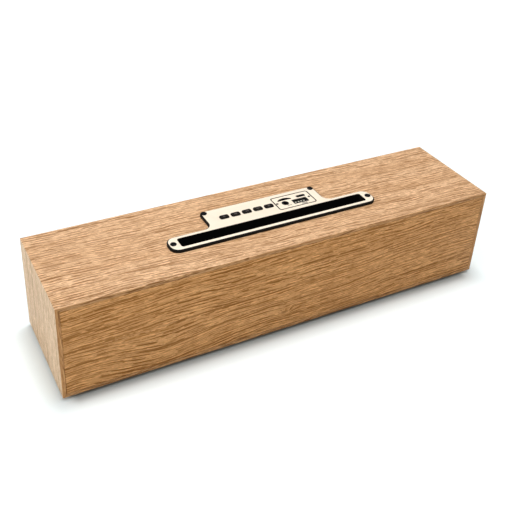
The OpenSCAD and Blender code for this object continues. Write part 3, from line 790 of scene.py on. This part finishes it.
def case_section(half_l, half_h, thick, inset):
    """Half-mitred section of one case wall: along, outward. Its outer corners are shared arcs."""
    radius = max(CORNER - inset, 0.12)
    length, height = half_l - inset, half_h - inset
    left = arc((-(length - radius), height - radius), radius, 135, 90, 4)
    right = arc((length - radius, height - radius), radius, 90, 45, 4)
    inner = [(half_l - EDGE_W, half_h - EDGE_W), (half_l - thick, half_h - thick)]
    return left + right + inner + [(-a, b) for a, b in reversed(inner)]


def case_wall(along, outward, half_l, half_h):
    """One mitred wall of the case, lofted from the grille side to the back."""
    centre = Vector((0, 0, MID_Z))
    steps = 4
    quarter = [math.radians(90 * k / steps) for k in range(steps + 1)]
    eased = [(RIM * (1 - math.cos(a)), RIM * (1 - math.sin(a))) for a in quarter]
    stations = [(FRONT_Y + back, EDGE_W, inset) for back, inset in eased]
    stations += [(FRONT_Y + GRILLE_DEPTH, EDGE_W, 0), (FRONT_Y + GRILLE_DEPTH, WALL, 0)]
    stations += [(BACK_Y - BACK_T, WALL, 0), (BACK_Y - BACK_T, EDGE_W, 0)]
    stations += [(BACK_Y - back, EDGE_W, inset) for back, inset in reversed(eased)]
    rings = []
    for y, thick, inset in stations:
        ring = [centre + along * s + outward * d for s, d in case_section(half_l, half_h, thick, inset)]
        rings.append([(p.x, y, p.z) for p in ring])
    return loft(rings)


X, Z = Vector((1, 0, 0)), Vector((0, 0, 1))
HALF_H = (TOP_Z - LOW_Z) / 2

base_low, base_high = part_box("panel_base")
plate_low, plate_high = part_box("panel_plate")
FLANGE_Z, PLATE_Z = plate_low.z / MM, plate_high.z / MM

slot_low, slot_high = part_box("slot_liner")
SLOT_Y = (slot_low.y + slot_high.y) / 2 / MM
SLOT_SIZE = ((slot_high.x - slot_low.x) / MM + 0.3, (slot_high.y - slot_low.y) / MM + 0.3)
SLOT_R = 1.8
WELL_SIZE = (SLOT_SIZE[0] + 4, SLOT_SIZE[1] + 4)
BAY_HALF, BAY_FRONT = 45, -15.5
UNDER_TOP, OVER_TOP = TOP_Z - WALL - 1, TOP_Z + 1
well = plate([round_box((0, SLOT_Y), WELL_SIZE, 0.4, 2)], UNDER_TOP, OVER_TOP)
bay = slab(Vector((-BAY_HALF, BAY_FRONT, UNDER_TOP)) * MM, Vector((BAY_HALF, SLOT_Y, OVER_TOP)) * MM)
top_mesh = cut(case_wall(X, Z, HALF_W, HALF_H), well, bay)
add("top_wall", top_mesh, top_wood, "case", ["top_board"])
add("bottom_wall", case_wall(X, -Z, HALF_W, HALF_H), bottom_wood, "case", ["bottom_board"])
for side_name, side in SIDES.items():
    wall = case_wall(Z, side * X, HALF_H, HALF_W)
    add(f"{side_name}_end_wall", wall, end_wood[side_name], "case", [f"{side_name}_end_board"])
back_low, back_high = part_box("back_board")
add("back_panel", slab(back_low, back_high, 0.35, 3), back_wood, "case", ["back_board"])

foot_boxes = solids("rubber_feet")
foot_low, foot_high = foot_boxes[0]
FOOT_R, FOOT_H = (foot_high.x - foot_low.x) / 2 / MM, foot_high.z / MM
foot_profile = [(0, 0.35), (FOOT_R - 3.2, 0.35), (FOOT_R - 2.4, 0.0), (FOOT_R - 1.1, 0.0),
                (FOOT_R - 0.55, 0.15), (FOOT_R - 0.25, 0.5), (FOOT_R, FOOT_H - 0.4), (FOOT_R, FOOT_H),
                (0, FOOT_H)]
foot_spots = [Vector(((low.x + high.x) / 2, (low.y + high.y) / 2, 0)) for low, high in foot_boxes]
feet = spread(turned(foot_profile, 48), foot_spots, FINISHES["black_rubber"])
add("feet", feet, FINISHES["black_rubber"], "case", ["rubber_feet"])


# ---------- grille ----------

sheet_low, sheet_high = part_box("grille_sheet")
PITCH = 3.5
ROW_PITCH = PITCH * math.sqrt(3) / 2
SHEET_W, SHEET_H = (sheet_high.x - sheet_low.x) / MM, (sheet_high.z - sheet_low.z) / MM
MARGIN = 4.5
HOLE_R, SHEET_CORNER = 1.15, 1.0
columns = int((SHEET_W - 2 * MARGIN) / PITCH)
row_pairs = int((SHEET_H - 2 * MARGIN) / (2 * ROW_PITCH)) + 1
grille_values = {
    "Width": SHEET_W * MM, "Height": SHEET_H * MM, "Corner": SHEET_CORNER * MM,
    "Thickness": sheet_high.y - sheet_low.y, "Hole radius": HOLE_R * MM,
    "Columns": columns, "Rows": row_pairs, "Pitch": PITCH * MM, "Row pitch": ROW_PITCH * MM,
    "Finish": FINISHES["grille_steel"],
}
sheet = perforated_tree().grow(bpy.data.meshes.new("nothing"), grille_values)
moved(sheet, Matrix.Rotation(math.pi / 2, 4, "X"), (0, sheet_high.y, (sheet_low.z + sheet_high.z) / 2))
add("perforated_grille", sheet, FINISHES["grille_steel"], "case", ["grille_sheet"])


# ---------- screws ----------


def screw(head_r, head_h, shank_r, length):
    """A pan-head cross screw: its head stands on z = 0."""
    angles = [math.radians(9 * k) for k in range(1, 10)]
    dome = [(head_r * math.sin(a), head_h * (0.45 + 0.55 * math.cos(a))) for a in angles]
    profile = [(0, head_h), *dome, (head_r, head_h * 0.3), (head_r * 0.94, 0), (shank_r, 0),
               (shank_r, 0.6 - length), (shank_r * 0.4, -length), (0, -length)]
    arm, half = head_r * 0.60, head_r * 0.15
    cross = [(-half, -arm), (half, -arm), (half, -half), (arm, -half), (arm, half), (half, half),
             (half, arm), (-half, arm), (-half, half), (-arm, half), (-arm, -half), (-half, -half)]
    return cut(turned(profile, 32), plate([cross], head_h * 0.35, head_h * 2))


def screws(node, sizes, seat, turn=(0, 0, 0)):
    """A cross screw for each solid of a CAD node of screws. seat gives a spot from a solid's box."""
    steel = FINISHES["black_steel"]
    mesh = spread(screw(*sizes), [seat(*box) for box in solids(node)], steel, turn)
    add(node.replace("screws", "fixings"), mesh, steel, "case", [node])


def middle(low, high):
    return (low + high) / 2


def on_height(z):
    """A seat in the middle of a box from above, at a height in metres."""
    return lambda low, high: Vector((middle(low, high).x, middle(low, high).y, z))


def on_front(y):
    """A seat in the middle of a box from the front, at a depth in metres."""
    return lambda low, high: Vector((middle(low, high).x, y, middle(low, high).z))


FACING_FRONT = (math.pi / 2, 0, 0)
BASKET_RIM = 2 * MM
baffle_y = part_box("front_baffle")[0].y
screws("panel_screws", (2.45, 0.75, 1.3, 9.5), on_height(plate_high.z))
screws("port_screws", (1.0, 0.35, 0.6, 2.2), on_height(plate_high.z))
screws("baffle_screws", (3.0, 1.6, 1.6, 14), on_front(baffle_y), FACING_FRONT)
screws("driver_screws", (2.6, 1.3, 1.3, 7), on_front(baffle_y - BASKET_RIM), FACING_FRONT)


# ---------- top panel ----------

BAR_HALF = base_high.x / MM
BAR_TOP, TAB_Y = base_high.y / MM, base_low.y / MM
BAR_D, BAR_R = 18.2, 7.4
TAB_HALF, TAB_R, FILLET = 51.4, 3.4, 6.0
PLATE_RIM = 0.9


def panel_outline(inset):
    """The slot's bar with the tab for keys and sockets, and hollow corners between them."""
    far, near = BAR_TOP - BAR_R, BAR_TOP - BAR_D + BAR_R
    side, join = BAR_HALF - BAR_R, BAR_TOP - BAR_D - FILLET
    r, f, t = BAR_R - inset, FILLET + inset, TAB_R - inset
    loop = arc((side, near), r, -90, 0, 12) + arc((side, far), r, 0, 90, 12)
    loop += arc((-side, far), r, 90, 180, 12) + arc((-side, near), r, 180, 270, 12)
    loop += arc((-TAB_HALF - FILLET, join), f, 90, 0, 12)
    loop += arc((-TAB_HALF + TAB_R, TAB_Y + TAB_R), t, 180, 270, 8)
    loop += arc((TAB_HALF - TAB_R, TAB_Y + TAB_R), t, 270, 360, 8)
    return loop + arc((TAB_HALF + FILLET, join), f, 180, 90, 12)


def from_above(node):
    """The middle of a CAD node in X and Y."""
    low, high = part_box(node)
    return (low.x + high.x) / 2 / MM, (low.y + high.y) / 2 / MM


key_spots = [from_above(f"{key}_key") for key in KEYS]
KEY_SIZE, KEY_R, KEY_CLEAR = (7.6, 4.6), 1.4, 0.15
KEY_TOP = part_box("play_key")[1].z / MM

port_low, port_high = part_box("port_plate")
PORT_AT = from_above("port_plate")
PORT_SIZE = ((port_high.x - port_low.x) / MM, (port_high.y - port_low.y) / MM)
PORT_R, PORT_GAP, SEAM_EASE = 1.3, 0.55, 0.16
JACK_AT, JACK_R = from_above("aux_jack"), 2.7
USB_AT, USB_SIZE = from_above("usb_tongue"), (13.1, 5.7)
CHARGE_AT, CHARGE_SIZE = from_above("charge_socket"), (7.6, 2.6)
CARD_AT, CARD_MOUTH = from_above("card_socket"), (12.4, 1.4)
SOCKET_GAP = 0.25
PANEL_HOLE_R, PORT_HOLE_R = 1.5, 0.7

panel_screw_spots = [middle(*pair) for pair in solids("panel_screws")]
port_screw_spots = [middle(*pair) for pair in solids("port_screws")]


def key_loops(grow):
    """The outlines of the keys, made wider all round."""
    size = (KEY_SIZE[0] + 2 * grow, KEY_SIZE[1] + 2 * grow)
    return [round_box(spot, size, KEY_R + grow) for spot in key_spots]


def card_loop():
    """The card's mouth with the shallow thumb scoop in front of it."""
    x, y = CARD_AT
    half, top, bottom = CARD_MOUTH[0] / 2, y + CARD_MOUTH[1] / 2, y - CARD_MOUTH[1] / 2
    scoop, deep = half - 0.8, 1.8
    radius = (scoop * scoop + deep * deep) / (2 * deep)
    sweep = math.degrees(math.asin(scoop / radius))
    bow = arc((x, bottom - deep + radius), radius, 270 - sweep, 270 + sweep, 14)
    return [(x - half, top), (x - half, bottom), *bow, (x + half, bottom), (x + half, top)]


def socket_loops():
    """The mouths in the socket plate."""
    gap = 2 * SOCKET_GAP
    return [
        round_hole(JACK_AT, JACK_R + SOCKET_GAP, 40),
        round_box(USB_AT, (USB_SIZE[0] + gap, USB_SIZE[1] + gap), 0.6),
        round_box(CHARGE_AT, (CHARGE_SIZE[0] + gap, CHARGE_SIZE[1] + gap), 1.0),
        card_loop(),
    ]


def panel_face():
    """The cream plate with its openings."""
    loops = [panel_outline(PLATE_RIM), round_box((0, SLOT_Y), SLOT_SIZE, SLOT_R), *key_loops(KEY_CLEAR)]
    seam = 2 * (PORT_GAP + SEAM_EASE)
    loops.append(round_box(PORT_AT, (PORT_SIZE[0] + seam, PORT_SIZE[1] + seam), PORT_R + seam / 2))
    loops += [round_hole((spot.x / MM, spot.y / MM), PANEL_HOLE_R) for spot in panel_screw_spots]
    return plate(loops, FLANGE_Z, PLATE_Z, 0.08, 2)


add("panel_face", panel_face(), FINISHES["champagne_metal"], "case", ["panel_plate"],
    painted_shade_walls=True)
port_size = (PORT_SIZE[0] - 2 * SEAM_EASE, PORT_SIZE[1] - 2 * SEAM_EASE)
port_loops = [round_box(PORT_AT, port_size, PORT_R), *socket_loops()]
port_loops += [round_hole((spot.x / MM, spot.y / MM), PORT_HOLE_R, 16) for spot in port_screw_spots]
port_face = plate(port_loops, FLANGE_Z, PLATE_Z, 0.06, 2)
add("port_face", port_face, FINISHES["champagne_metal"], "case", ["port_plate"],
    painted_shade_walls=True)


def ribbed_liner():
    """The rubber strip on the slot's floor, with cross ribs."""
    rib_w, rib_h, pitch = 0.9, 0.6, 2.0
    floor_z = slot_high.z - rib_h * MM
    strip = slab(slot_low, Vector((slot_high.x, slot_high.y, floor_z)), 0.15)
    length = (slot_high.y - slot_low.y) / 2 / MM - 0.8
    rib = slab(Vector((-rib_w / 2, -length, -0.3)) * MM, Vector((rib_w / 2, length, rib_h)) * MM, 0.25, 2)
    count = int((slot_high.x - slot_low.x) / MM / pitch) - 1
    places = [(k - (count - 1) / 2) * pitch * MM for k in range(count)]
    spots = [Vector((x, SLOT_Y * MM, floor_z)) for x in places]
    return joined(strip, spread(rib, spots, FINISHES["black_rubber"]))


add("ribbed_liner", ribbed_liner(), FINISHES["black_rubber"], "case", ["slot_liner"])


# ---------- keys ----------


def triangle(x, y, size, way=1):
    """A pointer to the right, or to the left where way is -1."""
    foot, tip = x - way * size / 2, x + way * size / 2
    return [(foot, y - size * 0.6), (tip, y), (foot, y + size * 0.6)]


def bar(x, y, width, height):
    """A box about its middle."""
    left, right, low, high = x - width / 2, x + width / 2, y - height / 2, y + height / 2
    return [(left, low), (right, low), (right, high), (left, high)]


def power_ring(x, y, radius, thick):
    """An open ring with its gap at the top."""
    return arc((x, y), radius, 130, 410, 20) + arc((x, y), radius - thick, 410, 130, 20)


SYMBOLS = {
    "mode": lambda x, y: [bar(x, y + k * 0.62, 1.9, 0.28) for k in (-1, 0, 1)],
    "previous": lambda x, y: [triangle(x + 0.65, y, 1.1, -1), triangle(x - 0.45, y, 1.1, -1),
                              bar(x - 1.2, y, 0.26, 1.3)],
    "play": lambda x, y: [triangle(x - 0.75, y, 1.2), bar(x + 0.4, y, 0.30, 1.4),
                          bar(x + 1.0, y, 0.30, 1.4)],
    "next": lambda x, y: [triangle(x - 0.65, y, 1.1), triangle(x + 0.45, y, 1.1),
                          bar(x + 1.2, y, 0.26, 1.3)],
    "power": lambda x, y: [power_ring(x, y, 0.85, 0.26), bar(x, y + 0.62, 0.26, 0.95)],
}


def key_cap(index):
    """Cap with soft edges, its retaining skirt and its stem."""
    low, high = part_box(f"{KEYS[index]}_key")
    centre = key_spots[index]
    cap = plate([round_box(centre, KEY_SIZE, KEY_R)], FLANGE_Z - 2.2, KEY_TOP, 0.32, 3)
    skirt_size = ((high.x - low.x) / MM, (high.y - low.y) / MM)
    skirt = plate([round_box(centre, skirt_size, KEY_R)], TOP_Z - 0.9, TOP_Z - 0.1, 0.1, 1)
    half_stem = 1.5
    stem_low = Vector((centre[0] - half_stem, centre[1] - half_stem, low.z / MM)) * MM
    stem_high = Vector((centre[0] + half_stem, centre[1] + half_stem, TOP_Z - 0.2)) * MM
    return joined(cap, skirt, slab(stem_low, stem_high, 0.2))


INK, INK_DEPTH = 0.015, 0.05
for index, key in enumerate(KEYS):
    add(f"{key}_cap", key_cap(index), FINISHES["key_plastic"], f"{key}_button", [f"{key}_key"])
    marks = plate(SYMBOLS[key](*key_spots[index]), KEY_TOP - INK_DEPTH, KEY_TOP + INK)
    add(f"{key}_symbol", marks, FINISHES["key_print"], f"{key}_button")

mark_x, mark_y = JACK_AT[0] - 2.1, JACK_AT[1] + 3.8
jack_mark = [round_hole((mark_x + 1.2, mark_y), 0.75, 20), round_hole((mark_x + 1.2, mark_y), 0.30, 20),
             bar(mark_x - 0.8, mark_y, 2.1, 0.6)]
mark_x, mark_y = USB_AT[0] - 1.5, USB_AT[1] + 4.6
usb_mark = [bar(mark_x, mark_y, 4.8, 1.7), bar(mark_x, mark_y, 3.8, 0.75),
            bar(mark_x - 0.9, mark_y, 0.9, 0.4), bar(mark_x + 0.9, mark_y, 0.9, 0.4)]
plate_marks = plate(jack_mark + usb_mark, PLATE_Z - INK_DEPTH, PLATE_Z + INK)
add("socket_marks", plate_marks, FINISHES["plate_print"], "case")


# ---------- sockets ----------


def contacts():
    """Four sprung contacts lying on the tongue's face, with their tips folded over its end."""
    tongue_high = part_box("usb_tongue")[1]
    y, z = tongue_high.y - 2.6 * MM, tongue_high.z - 5.2 * MM
    half, thick, pitch = 0.6, 0.12, 2.5
    leg = slab(Vector((-half, -thick, -4.2)) * MM, Vector((half, thick, 5.3)) * MM, 0.1)
    tip = slab(Vector((-half, -0.9, 5.15)) * MM, Vector((half, thick, 5.4)) * MM, 0.1)
    spots = [Vector((USB_AT[0] * MM + k * pitch * MM, y, z)) for k in (-1.5, -0.5, 0.5, 1.5)]
    return spread(joined(leg, tip), spots, FINISHES["contact_metal"])


add("usb_contacts", contacts(), FINISHES["contact_metal"], "case")


# ---------- soft rings of the drivers ----------

SECTORS = 8
SECTOR_STEPS = 5
CORRUGATION_STEPS = 30


def ring_sector(outline, first, last, centre):
    """Part of a turned solid between two angles, from a closed outline of (radius, depth) in mm."""
    bm = bmesh.new()
    rows = []
    for k in range(SECTOR_STEPS + 1):
        turn = first + (last - first) * k / SECTOR_STEPS
        spots = [Vector((r * math.cos(turn), depth, r * math.sin(turn))) for r, depth in outline]
        rows.append([bm.verts.new(centre + spot * MM) for spot in spots])
    for near, far in zip(rows, rows[1:]):
        for k in range(len(outline)):
            j = (k + 1) % len(outline)
            bm.faces.new([near[k], near[j], far[j], far[k]])
    bm.faces.new(rows[0])
    bm.faces.new(rows[-1])
    return mesh_from(bm)


def soft_ring(side, part, outline, finish):
    """A ring made in equal sectors, each a piece of its own, from a closed outline turned about the driver's
    axis. It is made in equal sectors, because a piece can only bend along one line."""
    low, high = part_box(f"{side}_{part}")
    centre = Vector(((low.x + high.x) / 2, high.y, (low.z + high.z) / 2))
    for index in range(SECTORS):
        first = math.tau * (index - 0.5) / SECTORS
        last = math.tau * (index + 0.5) / SECTORS
        mesh = ring_sector(outline, first, last, centre)
        made = placed(f"{side}_{part}_{index + 1}", mesh, FINISHES[finish], SOFT_CREASE)
        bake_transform(made)
        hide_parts(f"{side}_{part}")


def surround_outline():
    """Half roll with a flat lip on each side. Depth 0 is where the lips are glued."""
    middle_r, roll, thick, inner_lip, outer_lip = 21.6, 2.1, 0.4, 18.3, 25.0
    hollow = arc((middle_r, 0), roll - thick, 180, 360, 12)
    lean = math.degrees(math.asin(thick / roll))
    crown = arc((middle_r, 0), roll, 360 - lean, 180 + lean, 12)
    return [(inner_lip, 0), *hollow, (outer_lip, 0), (outer_lip, -thick), *crown, (inner_lip, -thick)]


def spider_outline():
    """Corrugated disc. Depth 0 is its back face."""
    inner, outer, first, last, waves, height, thick = 10.0, 18.0, 11.2, 16.8, 3, 0.9, 0.4
    radii = [first + (last - first) * k / CORRUGATION_STEPS for k in range(CORRUGATION_STEPS + 1)]
    depths = [-height / 2 * (1 - math.cos(math.tau * waves * (r - first) / (last - first))) for r in radii]
    back = [(inner, 0), *zip(radii, depths), (outer, 0)]
    return back + [(radius, depth - thick) for radius, depth in reversed(back)]


for side_name in SIDES:
    soft_ring(side_name, "surround", surround_outline(), "black_rubber")
    soft_ring(side_name, "spider", spider_outline(), "spider_cloth")


# ---------- finishes on the frame's own nodes ----------

slots = {row["node"]: row["material_slot"] for row in frame["record"]["subparts"]}
for node, piece in frame["nodes"].items():
    material = DARK_PARTS.get(node) or FINISHES[slots[node]]
    if piece.material_slots:
        for place in piece.material_slots:
            place.material = material
    else:
        piece.data.materials.append(material)


# ---------- floor and light ----------


FLOOR_NEAR, FLOOR_FAR = 280, 1300
SHADE_REACH, SHADE_FORCE = 5.5, 0.6


def floor():
    """A pale floor that glows from FLOOR_NEAR to FLOOR_FAR, with a soft contact shade at the feet painted
    into its colour.
    """
    made = Finish("floor_paint")
    haze = made.cloud(400, 2)
    reach = (made.x * made.x + made.y * made.y).maths("SQRT")
    far = made.blend(reach.rise(FLOOR_NEAR, FLOOR_FAR), tone(0, 0, 0), tone(1, 1, 1))
    # Painted shadow: the floor's colour darkens towards the case's edges and stands in for the contact
    # shadow.
    past_end = (made.x.maths("ABSOLUTE") - (HALF_W - FOOT_R * 2)).maths("MAXIMUM", 0.0)
    past_side = (made.y.maths("ABSOLUTE") - BACK_Y).maths("MAXIMUM", 0.0)
    apart = (past_end * past_end + past_side * past_side).maths("SQRT")
    colour = made.blend(haze * 0.3, tone(0.87, 0.94, 0.95), tone(0.88, 0.95, 0.96))
    colour = made.blend((apart / SHADE_REACH).bell() * SHADE_FORCE, colour, tone(0.16, 0.16, 0.15))
    material = made.finish(colour, 0.6, **{"Emission Color": far, "Emission Strength": 0.7})
    bm = bmesh.new()
    bmesh.ops.create_grid(bm, x_segments=1, y_segments=1, size=6.0)
    mesh = mesh_from(bm)
    mesh.materials.append(material)
    linked("floor", mesh)


def softbox(name, spot, aim, size, power):
    """A flat white lamp. Spots and sizes are in metres, the power in watts."""
    light = bpy.data.lights.new(name, "AREA")
    light.shape = "RECTANGLE"
    light.size, light.size_y = size
    light.energy = power
    lamp = linked(name, light)
    lamp.location = spot
    lamp.rotation_mode = "QUATERNION"
    lamp.rotation_quaternion = (Vector(aim) - Vector(spot)).to_track_quat("-Z", "Y")


def daylight(strength):
    """Even white light from all round."""
    world = bpy.data.worlds.new("daylight")
    world.use_nodes = True
    sky = world.node_tree.nodes["Background"]
    sky.inputs["Color"].default_value = tone(1, 1, 1)
    sky.inputs["Strength"].default_value = strength
    bpy.context.scene.world = world


floor()
daylight(0.32)
softbox("key", (-0.06, -0.18, 2.0), (0, 0, 0), (0.45, 0.45), 19)
softbox("overhead", (0.1, 0.32, 2.0), (0, 0, 0), (2.4, 2.0), 25)
softbox("end_fill", (1.6, -0.2, 0.8), (0, 0, 0.03), (1.2, 1.0), 7.5)
bpy.context.scene.view_settings.view_transform = "Standard"
